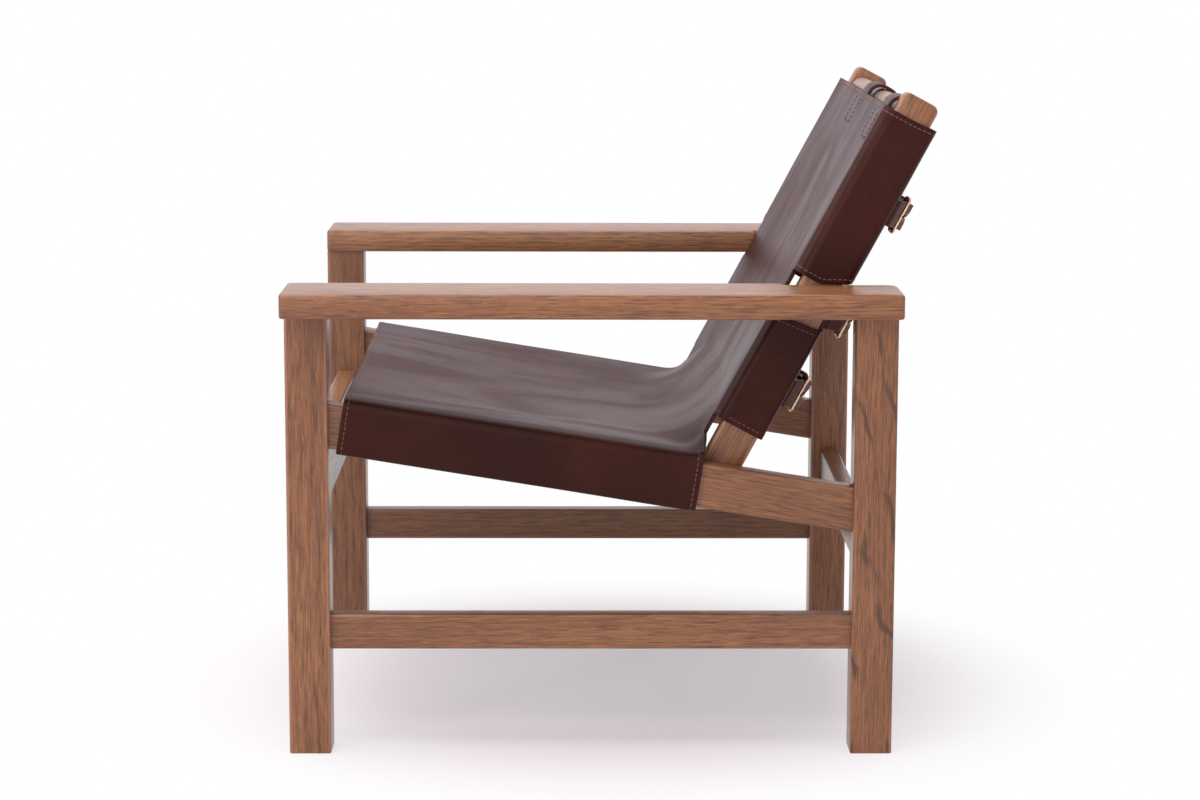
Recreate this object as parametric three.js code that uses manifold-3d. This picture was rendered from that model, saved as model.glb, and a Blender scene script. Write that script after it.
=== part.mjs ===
// Leather sling lounge chair. Millimetres, +Z up. The chair faces -Y and the sitter's left is +X.
// An oak frame carries one thick hide, which wraps the seat rails and the back posts and is
// drawn tight by buckled straps behind the back and under the seat.
import * as THREE from 'three';
import { mergeVertices } from 'three/addons/utils/BufferGeometryUtils.js';
import Module from 'manifold-3d';

const wasm = await Module();
wasm.setup();

// Clearances and shared joinery sizes
const clearance = 0.3;
const cutOverrun = 40;
const leastBend = 0.0001;
const cornerSteps = 4;
const roundSteps = 24;
const pinSteps = 16;
const edgeRound = 3;

// Legs
const frameDepth = 720;
const frameWidth = 686;
const legThickness = 48;
const legDepth = 50;
const legHeight = 532;
const legFootBevel = 2;
const legTenonHeight = 20;
const legTenonInset = 10;

// Armrests
const armrestThickness = 29;
const armrestOuterOverhang = 61;
const armrestInnerOverhang = 4;
const armrestCornerRadius = 5;
const armrestRearRadius = 14;
const armrestReliefGap = 2.3;

// Lower stretchers
const stretcherThickness = 26;
const stretcherHeight = 42;
const stretcherLift = 126;
const stretcherTenonInset = 6;
const tenonLength = 30;

// Seat rails: the top edge falls to the rear
const seatRailThickness = 28;
const seatRailHeight = 54;
const seatRailSetback = 10;
const seatRailTopAtFront = 422.5;
const seatSlopeDegrees = 9.15;
const seatTenonInset = 7;
const seatTenonShoulder = 9;

// Cross rails
const crossRailThickness = 24;
const crossTenonInset = 6;
const crossTenonShoulder = 8;
const frontCrossRailHeight = 90;
const frontCrossRailLift = 276;
const rearCrossRailHeight = 51;
const rearCrossRailLift = 206;

// Back posts: their centre line passes a point above the seat rail's foot
const postThickness = 28;
const postDepth = 46;
const postTopLength = 543;
const postFromRear = 229.2;
const postPivotHeight = 300;
const backTiltDegrees = 28.2;
const postTopRadius = 9;
const postFootRadius = 18;
const postFootClearance = 4;
const postEdgeRound = 2.5;

// Top dowel and the loops that ride on it
const dowelRadius = 14;
const dowelBelowTop = 25;
const dowelForward = 6;
const dowelHousing = 16;
const loopWidth = 60;
const loopThickness = 4.5;
const loopRound = 14;
const loopTail = 58;

// Bolts
const boltRadius = 4;
const boltHeadRadius = 7;
const boltHeadHeight = 5;
const boltSocketRadius = 3;
const boltSocketDepth = 3;
const boltBite = 22;

// Hide
const hideThickness = 5;
const hidePanelInset = 7;
const hideLap = 14;
const seatFrontHem = 18;
const seatHump = 6;
const seatLip = 30;
const seatBendRadius = 9;
const seatUnderRadius = 5.5;
const hideFilletRadius = 80;
const backHemBelowDowel = 1.5;
const backFrontGap = 7.5;
const upperFlapRearGap = 5;
const backLip = 2;
const backBendRadius = 9;
const lowerFlapBottom = 100;
const lowerFlapGapFront = 15.5;
const lowerFlapGapRear = 33.5;
const upperFlapGapFront = 19.6;
const upperFlapGapRear = 1.2;
const tongueRise = 44;

// Buckled straps, one set repeated six times
const strapWidth = 34;
const strapThickness = 4;
const strapSeam = 22;
const lowerStrapStandoff = 13;
const middleStrapStandoff = 20;
const upperStrapStandoff = 11;
const seatStrapStandoff = 0;
const strapRiseLength = 16;
const strapBend = 4;
const seatStrapShares = [0.17, 0.5, 0.83];
const lowerStrapShare = 0.44;
const upperStrapShare = 0.47;
const middleStrapDrop = 20;
const tipBarFromPost = 23;
const buckleBarSpacing = 36;
const buckleBarRadius = 2.5;
const buckleSideWidth = 6.4;
const bucklePlateBevel = 1.2;
const buckleCornerRadius = 6;
const foldLap = 52;
const prongWidth = 4.6;
const prongThickness = 3.2;
const prongRingWall = 2.4;
const prongNose = 5;
const prongSlotLength = 25;
const tailLength = 70;
const strapHoleRadius = 2.5;
const strapHolePitch = 12;
const keeperWidth = 11;
const keeperThickness = 2.5;
const keeperFromBar = 38;

// Materials
const oakColour = 0x8f5f45;
const leatherColour = 0x4a302d;
const brassColour = 0xb48a4c;
const steelColour = 0x9a9a9a;

const degree = Math.PI / 180;
const seatSlope = seatSlopeDegrees * degree;
const backTilt = backTiltDegrees * degree;
const quarterTurn = Math.PI / 2;

// Places worked out from the sizes above
const legOuterX = frameWidth / 2;
const legInnerX = legOuterX - legThickness;
const frontY = -frameDepth / 2;
const rearY = frameDepth / 2;
const frontLegBackY = frontY + legDepth;
const rearLegFrontY = rearY - legDepth;
const railOuterX = legOuterX - seatRailSetback;
const railInnerX = railOuterX - seatRailThickness;
const postOuterX = railInnerX - clearance;
const postInnerX = postOuterX - postThickness;
const armrestInnerX = legInnerX - armrestInnerOverhang;
const armrestOuterX = legOuterX + armrestOuterOverhang;
const armrestTopZ = legHeight + armrestThickness;
const postPivotY = rearY - postFromRear;
const railDepth = seatRailHeight * Math.cos(seatSlope);
const hidePanelX = armrestInnerX - hidePanelInset;
const backFrontFace = -postDepth / 2 - backFrontGap;
const lowerFlapInside = postDepth / 2 + clearance;
const upperFlapInside = postDepth / 2 + upperFlapRearGap;
const dowelAlong = postTopLength - dowelBelowTop;
const backTopHem = dowelAlong - backHemBelowDowel;
const hideFrontFace = backFrontFace - hideThickness;
const lowerFlapRear = lowerFlapInside + hideThickness;
const upperFlapRear = upperFlapInside + hideThickness;

// Distance up the back post at which a place across it reaches a height
function alongPost(height, across) {
  return (height - postPivotHeight + across * Math.sin(backTilt)) / Math.cos(backTilt);
}

// Where the back post's front face stands at a height
function postFrontY(height) {
  return postPivotY + (height - postPivotHeight) * Math.tan(backTilt) - postDepth / 2 / Math.cos(backTilt);
}

const lowerFlapTopFront = alongPost(legHeight, hideFrontFace) - lowerFlapGapFront;
const lowerFlapTopRear = alongPost(legHeight, lowerFlapRear) - lowerFlapGapRear;
const upperFlapBottomFront = alongPost(armrestTopZ, hideFrontFace) + upperFlapGapFront;
const upperFlapBottomRear = alongPost(armrestTopZ + upperFlapGapRear, upperFlapRear);
const tongueTop = lowerFlapTopRear + tongueRise;

// Geometry helpers

function point(x, y, radius = 0) {
  return { x, y, radius };
}

// Points of a line of corners, with each named radius turned into an arc
function rounded(corners, steps, closed) {
  const count = corners.length;
  const points = [];
  corners.forEach((corner, index) => {
    const here = new THREE.Vector2(corner.x, corner.y);
    const isEnd = !closed && (index === 0 || index === count - 1);
    if (isEnd || corner.radius === 0) {
      points.push(here);
      return;
    }
    const before = corners[(index + count - 1) % count];
    const after = corners[(index + 1) % count];
    const toBefore = new THREE.Vector2(before.x, before.y).sub(here).normalize();
    const toAfter = new THREE.Vector2(after.x, after.y).sub(here).normalize();
    if (Math.abs(toBefore.cross(toAfter)) < leastBend) {
      points.push(here);
      return;
    }
    const half = Math.acos(toBefore.dot(toAfter)) / 2;
    const reach = corner.radius / Math.tan(half);
    const middle = toBefore.clone().add(toAfter).normalize();
    const centre = here.clone().addScaledVector(middle, corner.radius / Math.sin(half));
    const start = here.clone().addScaledVector(toBefore, reach).sub(centre);
    const end = here.clone().addScaledVector(toAfter, reach).sub(centre);
    const turn = Math.atan2(start.cross(end), start.dot(end));
    for (let step = 0; step <= steps; step += 1) {
      const arm = start.clone().rotateAround(new THREE.Vector2(), turn * step / steps);
      points.push(centre.clone().add(arm));
    }
  });
  return points;
}

function outline(corners, steps = cornerSteps) {
  return new THREE.Shape(rounded(corners, steps, true));
}

function rectangle(left, right, low, high, radius = 0) {
  return outline([
    point(left, low, radius),
    point(right, low, radius),
    point(right, high, radius),
    point(left, high, radius),
  ]);
}

// A band of even thickness along a line of rounded corners
function band(corners, thickness, steps = cornerSteps) {
  const line = rounded(corners, steps, false);
  const left = [];
  const right = [];
  line.forEach((here, index) => {
    const before = line[Math.max(index - 1, 0)];
    const after = line[Math.min(index + 1, line.length - 1)];
    const first = index === 0 ? after.clone().sub(here) : here.clone().sub(before);
    const second = index === line.length - 1 ? here.clone().sub(before) : after.clone().sub(here);
    const firstNormal = new THREE.Vector2(-first.y, first.x).normalize();
    const secondNormal = new THREE.Vector2(-second.y, second.x).normalize();
    const normal = firstNormal.clone().add(secondNormal).normalize();
    const reach = thickness / 2 / normal.dot(firstNormal);
    left.push(here.clone().addScaledVector(normal, reach));
    right.push(here.clone().addScaledVector(normal, -reach));
  });
  return new THREE.Shape(left.concat(right.reverse()));
}

// A prism of a shape drawn across one axis, from one place to another along it
function prism(shape, axis, from, to, bevel = 0) {
  const geometry = new THREE.ExtrudeGeometry(shape, {
    depth: to - from - bevel * 2,
    steps: 1,
    curveSegments: pinSteps,
    bevelEnabled: bevel > 0,
    bevelSize: bevel,
    bevelOffset: -bevel,
    bevelThickness: bevel,
    bevelSegments: 2,
  });
  geometry.translate(0, 0, bevel);
  const unitX = new THREE.Vector3(1, 0, 0);
  const unitY = new THREE.Vector3(0, 1, 0);
  const unitZ = new THREE.Vector3(0, 0, 1);
  const frame = new THREE.Matrix4();
  if (axis === 'x') {
    frame.makeBasis(unitY, unitZ, unitX);
    frame.setPosition(from, 0, 0);
  } else if (axis === 'y') {
    frame.makeBasis(unitX, unitZ, unitY.clone().negate());
    frame.setPosition(0, to, 0);
  } else {
    frame.setPosition(0, 0, from);
  }
  return geometry.applyMatrix4(frame);
}

function block(x0, x1, y0, y1, z0, z1) {
  const geometry = new THREE.BoxGeometry(x1 - x0, y1 - y0, z1 - z0);
  return geometry.translate((x0 + x1) / 2, (y0 + y1) / 2, (z0 + z1) / 2);
}

// A rod along X
function rod(radius, x0, x1, y, z, sides = roundSteps) {
  const geometry = new THREE.CylinderGeometry(radius, radius, x1 - x0, sides);
  geometry.rotateZ(quarterTurn);
  return geometry.translate((x0 + x1) / 2, y, z);
}

function solid(geometry) {
  const bare = geometry.index ? geometry.clone() : mergeVertices(geometry);
  bare.deleteAttribute('normal');
  bare.deleteAttribute('uv');
  const merged = mergeVertices(bare);
  return new wasm.Manifold(new wasm.Mesh({
    numProp: 3,
    vertProperties: new Float32Array(merged.attributes.position.array),
    triVerts: new Uint32Array(merged.index.array),
  }));
}

function surface(body) {
  const mesh = body.getMesh();
  const geometry = new THREE.BufferGeometry();
  geometry.setAttribute('position', new THREE.BufferAttribute(new Float32Array(mesh.vertProperties), 3));
  geometry.setIndex(new THREE.BufferAttribute(new Uint32Array(mesh.triVerts), 1));
  geometry.computeVertexNormals();
  return geometry;
}

function join(first, ...others) {
  return surface(others.reduce((body, other) => body.add(solid(other)), solid(first)));
}

function cut(first, ...others) {
  return surface(others.reduce((body, other) => body.subtract(solid(other)), solid(first)));
}

function overlap(first, second) {
  return surface(solid(first).intersect(solid(second)));
}

// The same piece on the other side of the chair
function mirrored(geometry) {
  const copy = geometry.index ? geometry.clone() : mergeVertices(geometry);
  copy.scale(-1, 1, 1);
  const index = copy.index.array;
  for (let corner = 0; corner < index.length; corner += 3) {
    const kept = index[corner];
    index[corner] = index[corner + 1];
    index[corner + 1] = kept;
  }
  copy.computeVertexNormals();
  return copy;
}

const chair = new THREE.Group();
const backFrame = new THREE.Group();
backFrame.position.set(0, postPivotY, postPivotHeight);
backFrame.rotation.x = -backTilt;
const seatFrame = new THREE.Group();
seatFrame.position.set(0, frontLegBackY, seatRailTopAtFront);
seatFrame.rotation.x = -seatSlope;
chair.add(backFrame, seatFrame);
chair.updateMatrixWorld(true);

const toSeat = seatFrame.matrixWorld.clone().invert();

function finish(kind) {
  const looks = {
    oak: { color: oakColour, roughness: 0.55, metalness: 0 },
    leather: { color: leatherColour, roughness: 0.45, metalness: 0 },
    brass: { color: brassColour, roughness: 0.3, metalness: 1 },
    steel: { color: steelColour, roughness: 0.4, metalness: 1 },
  };
  return new THREE.MeshStandardMaterial(looks[kind]);
}

function place(name, geometry, kind, parent = chair) {
  const mesh = new THREE.Mesh(geometry, finish(kind));
  mesh.name = name;
  parent.add(mesh);
  return mesh;
}

function placePair(name, geometry, kind, parent = chair) {
  place(`left_${name}`, geometry, kind, parent);
  place(`right_${name}`, mirrored(geometry), kind, parent);
}

// A block grown on all sides, which cuts the mortise for a tenon of that block
function mortise(x0, x1, y0, y1, z0, z1) {
  return block(
    x0 - clearance, x1 + clearance,
    y0 - clearance, y1 + clearance,
    z0 - clearance, z1 + clearance,
  );
}

// Tenon boxes, shared by the pieces that carry them and the pieces that hold them

const seatTop = (y) => seatRailTopAtFront - Math.tan(seatSlope) * (y - frontLegBackY);

function legTenon(legFrontY, topZ) {
  return [
    legInnerX + legTenonInset, legOuterX - legTenonInset,
    legFrontY + legTenonInset, legFrontY + legDepth - legTenonInset,
    legHeight - legTenonInset, topZ,
  ];
}

const stretcherInnerX = (legInnerX + legOuterX - stretcherThickness) / 2;
const stretcherTenon = (y0, y1) => [
  stretcherInnerX + stretcherTenonInset, stretcherInnerX + stretcherThickness - stretcherTenonInset,
  y0, y1,
  stretcherLift + stretcherTenonInset, stretcherLift + stretcherHeight - stretcherTenonInset,
];

function seatTenon(shoulderY, y0, y1) {
  const top = seatTop(shoulderY);
  return [
    railInnerX + seatTenonInset, railOuterX - seatTenonInset,
    y0, y1,
    top - seatRailHeight + seatTenonShoulder, top - seatTenonShoulder,
  ];
}

const crossRailSetback = (legDepth - crossRailThickness) / 2;

function crossTenon(legFrontY, lift, height, x1) {
  return [
    legInnerX - crossTenonInset, x1,
    legFrontY + crossRailSetback + crossTenonInset,
    legFrontY + crossRailSetback + crossRailThickness - crossTenonInset,
    lift + crossTenonShoulder, lift + height - crossTenonShoulder,
  ];
}

const seatFrontTenon = seatTenon(frontLegBackY, frontLegBackY - tenonLength, frontLegBackY + tenonLength / 2);
const seatRearTenon = seatTenon(rearLegFrontY, rearLegFrontY - tenonLength / 2, rearLegFrontY + tenonLength);
const stretcherFrontTenon = stretcherTenon(frontLegBackY - tenonLength, frontLegBackY);
const stretcherRearTenon = stretcherTenon(rearLegFrontY, rearLegFrontY + tenonLength);
const crossTenonEnd = legInnerX + tenonLength;
const frontCrossTenon = crossTenon(frontY, frontCrossRailLift, frontCrossRailHeight, crossTenonEnd);
const rearCrossTenon = crossTenon(rearLegFrontY, rearCrossRailLift, rearCrossRailHeight, crossTenonEnd);

// Legs: square oak, with a stub tenon into the armrest and mortises for rails and stretchers

function leg(legFrontY, mortises) {
  const section = rectangle(legInnerX, legOuterX, legFrontY, legFrontY + legDepth, edgeRound);
  const bevelled = prism(section, 'z', 0, legHeight + cutOverrun, legFootBevel);
  const shaft = overlap(bevelled, block(legInnerX, legOuterX, frontY, rearY, 0, legHeight));
  const withTenon = join(shaft, block(...legTenon(legFrontY, legHeight + legTenonHeight)));
  return cut(withTenon, ...mortises.map((box) => mortise(...box)));
}

placePair('front_leg', leg(frontY, [seatFrontTenon, stretcherFrontTenon, frontCrossTenon]), 'oak');
placePair('rear_leg', leg(rearLegFrontY, [seatRearTenon, stretcherRearTenon, rearCrossTenon]), 'oak');

// Bolts: a cap head sunk in the back post's inner face, its shaft biting the piece outside

function bolt() {
  const length = boltHeadHeight + postOuterX - postInnerX - boltHeadHeight + boltBite;
  const profile = [
    new THREE.Vector2(0, boltSocketDepth),
    new THREE.Vector2(boltSocketRadius, boltSocketDepth),
    new THREE.Vector2(boltSocketRadius, 0),
    new THREE.Vector2(boltHeadRadius, 0),
    new THREE.Vector2(boltHeadRadius, boltHeadHeight),
    new THREE.Vector2(boltRadius, boltHeadHeight),
    new THREE.Vector2(boltRadius, length),
    new THREE.Vector2(0, length),
  ];
  const geometry = new THREE.LatheGeometry(profile, pinSteps);
  return geometry.rotateZ(-quarterTurn);
}

// Bolt places, as a distance along the back post's centre line
const lapTurn = backTilt - seatSlope;
const railTopOnPost = (seatTop(postPivotY) - postPivotHeight)
  * (Math.cos(backTilt) + Math.sin(backTilt) * Math.tan(lapTurn));
const railTopOnPostFront = railTopOnPost - postDepth / 2 * Math.tan(lapTurn);
const railBoltAlong = railTopOnPost - railDepth / 2 / Math.cos(lapTurn);
const armBoltAlong = (legHeight + armrestThickness / 2 - postPivotHeight) / Math.cos(backTilt);
const boltPlaces = { rail_bolt: railBoltAlong, armrest_bolt: armBoltAlong };

function boltHoles() {
  const start = postInnerX - cutOverrun;
  const bite = postOuterX + boltBite + clearance;
  return Object.values(boltPlaces).flatMap((along) => [
    rod(boltRadius + clearance, start, bite, 0, along, pinSteps),
    rod(boltHeadRadius + clearance, start, postInnerX + boltHeadHeight, 0, along, pinSteps),
  ]);
}

Object.entries(boltPlaces).forEach(([name, along]) => {
  const geometry = bolt().translate(postInnerX, 0, along);
  placePair(name, geometry, 'steel', backFrame);
});

const boltHolesInChair = boltHoles().map((hole) => hole.applyMatrix4(backFrame.matrixWorld));

// Armrests: wide flat boards on the leg tops, relieved inside for the back posts

function armrest() {
  const reliefY = postFrontY(legHeight) - armrestReliefGap;
  const plan = outline([
    point(armrestInnerX, frontY, armrestCornerRadius),
    point(armrestOuterX, frontY, armrestCornerRadius),
    point(armrestOuterX, rearY, armrestCornerRadius),
    point(railInnerX, rearY, armrestRearRadius),
    point(railInnerX, reliefY),
    point(armrestInnerX, reliefY),
  ]);
  const board = prism(plan, 'z', legHeight, armrestTopZ, edgeRound);
  const tenons = [frontY, rearLegFrontY].map((y) => mortise(...legTenon(y, legHeight + legTenonHeight)));
  return cut(board, ...tenons, ...boltHolesInChair);
}

placePair('armrest', armrest(), 'oak');

// Lower stretchers: low rails between front and rear leg

function lowerStretcher() {
  const section = rectangle(
    stretcherInnerX, stretcherInnerX + stretcherThickness,
    stretcherLift, stretcherLift + stretcherHeight, edgeRound,
  );
  const rail = prism(section, 'y', frontLegBackY, rearLegFrontY);
  const front = stretcherTenon(frontLegBackY - tenonLength, frontLegBackY + tenonLength / 2);
  const rear = stretcherTenon(rearLegFrontY - tenonLength / 2, rearLegFrontY + tenonLength);
  return join(rail, block(...front), block(...rear));
}

placePair('lower_stretcher', lowerStretcher(), 'oak');

// Seat rails: sloping side rails that the hide wraps

function seatRail() {
  const section = rectangle(railInnerX, railOuterX, -railDepth, 0, edgeRound);
  const long = prism(section, 'y', -cutOverrun, rearLegFrontY - frontLegBackY + cutOverrun);
  long.applyMatrix4(seatFrame.matrixWorld);
  const room = block(legInnerX, legOuterX, frontLegBackY, rearLegFrontY, 0, legHeight);
  const rail = overlap(long, room);
  const withTenons = join(rail, block(...seatFrontTenon), block(...seatRearTenon));
  return cut(withTenons, ...boltHolesInChair);
}

placePair('seat_rail', seatRail(), 'oak');

// Cross rails: a deep one in front, a shallower one behind

function crossRail(legFrontY, lift, height) {
  const near = legFrontY + crossRailSetback;
  const section = outline([
    point(near, lift, edgeRound),
    point(near + crossRailThickness, lift, edgeRound),
    point(near + crossRailThickness, lift + height, edgeRound),
    point(near, lift + height, edgeRound),
  ]);
  const rail = prism(section, 'x', -legInnerX, legInnerX);
  const tenon = block(...crossTenon(legFrontY, lift, height, crossTenonEnd));
  return join(rail, tenon, mirrored(tenon));
}

place('front_cross_rail', crossRail(frontY, frontCrossRailLift, frontCrossRailHeight), 'oak');
place('rear_cross_rail', crossRail(rearLegFrontY, rearCrossRailLift, rearCrossRailHeight), 'oak');

// Back posts: lapped on the seat rails' and armrests' inner faces, with a foot cut along the rail

function backPost() {
  const footMiddle = railTopOnPost - (railDepth - postFootClearance) / Math.cos(lapTurn);
  const footRise = Math.tan(lapTurn) * postDepth / 2;
  const side = outline([
    point(-postDepth / 2, footMiddle - footRise, postFootRadius),
    point(postDepth / 2, footMiddle + footRise, edgeRound),
    point(postDepth / 2, postTopLength, postTopRadius),
    point(-postDepth / 2, postTopLength, postTopRadius),
  ]);
  const post = prism(side, 'x', postInnerX, postOuterX, postEdgeRound);
  const socket = rod(
    dowelRadius + clearance, postInnerX - cutOverrun, postInnerX + dowelHousing + clearance,
    -dowelForward, dowelAlong,
  );
  return cut(post, socket, ...boltHoles());
}

placePair('back_post', backPost(), 'oak', backFrame);

// Top dowel: housed in both back posts

const dowelEndX = postInnerX + dowelHousing;
place('top_dowel', rod(dowelRadius, -dowelEndX, dowelEndX, -dowelForward, dowelAlong), 'oak', backFrame);

// Hide: seat and back in one panel, with wraps round the rails and flaps round the posts

const postFoot = new THREE.Vector3(0, -postDepth / 2, railTopOnPostFront).applyMatrix4(backFrame.matrixWorld);
const seatRearHem = postFoot.applyMatrix4(toSeat).y - clearance;

// A flap round the back post, between two places along it, bent as tightly as the post allows
function backWrap(inside, low, high) {
  const flankX = postOuterX + clearance + hideThickness / 2;
  const slack = inside - postDepth / 2 - clearance;
  const rearBend = Math.min(backBendRadius, postEdgeRound + clearance + slack + hideThickness / 2);
  const section = band([
    point(hidePanelX - hideLap, backFrontFace - hideThickness / 2),
    point(flankX, backFrontFace - hideThickness / 2, backBendRadius),
    point(flankX, inside + hideThickness / 2, rearBend),
    point(postInnerX - backLip, inside + hideThickness / 2),
  ], hideThickness);
  return prism(section, 'z', low, high);
}

function hideSide() {
  const flankX = railOuterX + clearance + hideThickness / 2;
  const over = seatHump + hideThickness / 2;
  const under = -railDepth - clearance - hideThickness / 2;
  const seatSection = band([
    point(hidePanelX - hideLap, over),
    point(flankX, over, seatBendRadius),
    point(flankX, under, seatUnderRadius),
    point(railInnerX - seatLip, under),
  ], hideThickness);
  const seatWrap = prism(seatSection, 'y', seatFrontHem, seatRearHem);
  seatWrap.applyMatrix4(seatFrame.matrixWorld);

  const aboveSide = outline([
    point(hideFrontFace - clearance, lowerFlapTopFront),
    point(lowerFlapRear + clearance, lowerFlapTopRear),
    point(lowerFlapRear + clearance, tongueTop + cutOverrun),
    point(hideFrontFace - clearance, tongueTop + cutOverrun),
  ]);
  const aboveLower = prism(aboveSide, 'x', hidePanelX, postOuterX + cutOverrun);
  const tongue = block(
    postInnerX - backLip, postOuterX - edgeRound,
    lowerFlapInside, lowerFlapRear, lowerFlapTopFront, tongueTop,
  );
  const lowerFlap = join(cut(backWrap(lowerFlapInside, lowerFlapBottom, tongueTop), aboveLower), tongue);
  lowerFlap.applyMatrix4(backFrame.matrixWorld);

  const armrestRoom = block(
    postInnerX - cutOverrun, postOuterX + cutOverrun,
    frontY, rearY, legHeight, armrestTopZ + upperFlapGapRear,
  );
  const upperWrap = backWrap(upperFlapInside, upperFlapBottomFront, backTopHem);
  const upperFlap = cut(upperWrap.applyMatrix4(backFrame.matrixWorld), armrestRoom);
  return join(seatWrap, lowerFlap, upperFlap);
}

// The panel's side view: along the seat, round the fillet and up the back
function hidePanel() {
  const seatLine = new THREE.Vector3(0, seatFrontHem, seatHump + hideThickness / 2);
  const backLine = new THREE.Vector3(0, backFrontFace - hideThickness / 2, backTopHem);
  const start = seatLine.clone().applyMatrix4(seatFrame.matrixWorld);
  const end = backLine.clone().applyMatrix4(backFrame.matrixWorld);
  const seatDirection = new THREE.Vector2(Math.cos(seatSlope), -Math.sin(seatSlope));
  const backDirection = new THREE.Vector2(Math.sin(backTilt), Math.cos(backTilt));
  const apart = new THREE.Vector2(end.y - start.y, end.z - start.z);
  const along = apart.cross(backDirection) / seatDirection.cross(backDirection);
  const corner = new THREE.Vector2(start.y, start.z).addScaledVector(seatDirection, along);
  const side = band([
    point(start.y, start.z),
    point(corner.x, corner.y, hideFilletRadius),
    point(end.y, end.z),
  ], hideThickness, pinSteps);
  return prism(side, 'x', -hidePanelX, hidePanelX);
}

const hideLeft = hideSide();
place('leather_sling', join(hidePanel(), hideLeft, mirrored(hideLeft)), 'leather');

// Loops: short belts from the hide's back over the top dowel

function loop(x0) {
  const half = loopThickness / 2;
  const frontLine = backFrontFace + clearance + half;
  const overDowel = dowelRadius + clearance + half;
  const topLine = dowelAlong + overDowel;
  const rearLine = -dowelForward + overDowel;
  const side = band([
    point(frontLine, dowelAlong - loopTail),
    point(frontLine, topLine, loopRound),
    point(rearLine, topLine, overDowel),
    point(rearLine, dowelAlong - dowelRadius, loopRound - loopThickness),
    point(frontLine + loopThickness + clearance * 2, dowelAlong - loopTail + loopThickness),
  ], loopThickness);
  return prism(side, 'x', x0, x0 + loopWidth);
}

place('middle_dowel_loop', loop(-loopWidth / 2), 'leather', backFrame);
place('left_dowel_loop', loop(postInnerX - clearance - loopWidth), 'leather', backFrame);

// Strap sets. In a set, X runs across the chair from the heel bar, Y stands off the hide and Z
// runs along the hem. A long strap sewn to the right flap folds round the buckle's heel bar. A
// billet sewn to the left flap passes under the tip bar and over the heel bar, and its tail lies
// on the strap, in the keeper.

const halfStrap = strapWidth / 2;
const tipX = postInnerX - tipBarFromPost;
const heelX = tipX - buckleBarSpacing;
const heelY = clearance * 2 + strapThickness + buckleBarRadius;
const eyeRadius = buckleBarRadius + clearance + strapThickness;
const foldTop = clearance + strapThickness * 2;
const overBar = heelY + eyeRadius + clearance + strapThickness / 2;
const underBar = clearance + strapThickness / 2;
const overFold = foldTop + clearance + strapThickness / 2;
const prongGap = prongWidth / 2 + clearance;
const seamX = postInnerX + strapSeam;

// A round-ended cutter for a slot or hole through the strap's thickness
function punch(x0, x1, halfWidth) {
  const shape = rectangle(x0, x1, -halfWidth, halfWidth, halfWidth - clearance);
  return prism(shape, 'z', -cutOverrun, cutOverrun).rotateX(quarterTurn);
}

function barRod(radius, length) {
  const bar = new THREE.CylinderGeometry(radius, radius, length, roundSteps);
  return bar.rotateX(quarterTurn).translate(0, heelY, 0);
}

function billet(sewnY) {
  const drop = overBar - overFold;
  const line = band([
    point(seamX - heelX, sewnY),
    point(postInnerX - heelX, sewnY, strapBend),
    point(postInnerX - strapRiseLength - heelX, underBar, strapBend),
    point(buckleBarSpacing - buckleBarRadius * 2, underBar, strapBend),
    point(eyeRadius + strapThickness / 2, overBar, strapBend),
    point(-eyeRadius, overBar, strapBend),
    point(-eyeRadius - drop * 2, overFold, strapBend),
    point(-tailLength, overFold),
  ], strapThickness);
  const belt = prism(line, 'z', -halfStrap, halfStrap);
  const trimShape = outline([
    point(-tailLength, -halfStrap, halfStrap - clearance),
    point(seamX, -halfStrap),
    point(seamX, halfStrap),
    point(-tailLength, halfStrap, halfStrap - clearance),
  ], pinSteps / 2);
  const trim = prism(trimShape, 'z', -cutOverrun, cutOverrun).rotateX(quarterTurn);
  const firstHole = -eyeRadius - strapHolePitch;
  const holes = [firstHole, firstHole - strapHolePitch * 2].map((x) =>
    punch(x - strapHoleRadius, x + strapHoleRadius, strapHoleRadius));
  return cut(overlap(belt, trim), punch(0, prongSlotLength, prongGap), ...holes);
}

function buckleStrap(sewnY) {
  const line = band([
    point(-seamX - heelX, sewnY),
    point(-postInnerX - heelX, sewnY, strapBend),
    point(-postInnerX + strapRiseLength - heelX, underBar, strapBend),
    point(0, underBar),
  ], strapThickness);
  const fold = outline([
    point(0, clearance),
    point(0, heelY + eyeRadius / 2),
    point(-eyeRadius / 2, heelY + eyeRadius * Math.cos(Math.asin(1 / 2))),
    point(-eyeRadius * 2, foldTop),
    point(-foldLap, foldTop),
    point(-foldLap, clearance),
  ]);
  const body = join(
    prism(line, 'z', -halfStrap, halfStrap),
    prism(fold, 'z', -halfStrap, halfStrap),
    barRod(eyeRadius, strapWidth),
  );
  const ringReach = buckleBarRadius + prongRingWall + clearance * 2 + prongGap;
  const eye = barRod(buckleBarRadius + clearance, strapWidth * 2);
  return cut(body, eye, punch(-ringReach, eyeRadius * 2, prongGap));
}

function buckleFrame() {
  const inner = halfStrap + clearance * 3;
  const outer = inner + buckleSideWidth;
  const reach = buckleBarRadius;
  const plate = outline([
    point(-reach, -outer, reach),
    point(buckleBarSpacing + reach, -outer, buckleCornerRadius),
    point(buckleBarSpacing + reach, outer, buckleCornerRadius),
    point(-reach, outer, reach),
  ]);
  const window = outline([
    point(-cutOverrun, -inner),
    point(buckleBarSpacing - reach, -inner, reach / 2),
    point(buckleBarSpacing - reach, inner, reach / 2),
    point(-cutOverrun, inner),
  ]);
  const ring = prism(plate, 'z', -reach, reach, bucklePlateBevel);
  const shell = cut(ring, prism(window, 'z', -cutOverrun, cutOverrun));
  shell.rotateX(quarterTurn).translate(0, heelY, 0);
  return join(shell, barRod(buckleBarRadius, inner * 2 + reach));
}

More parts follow.
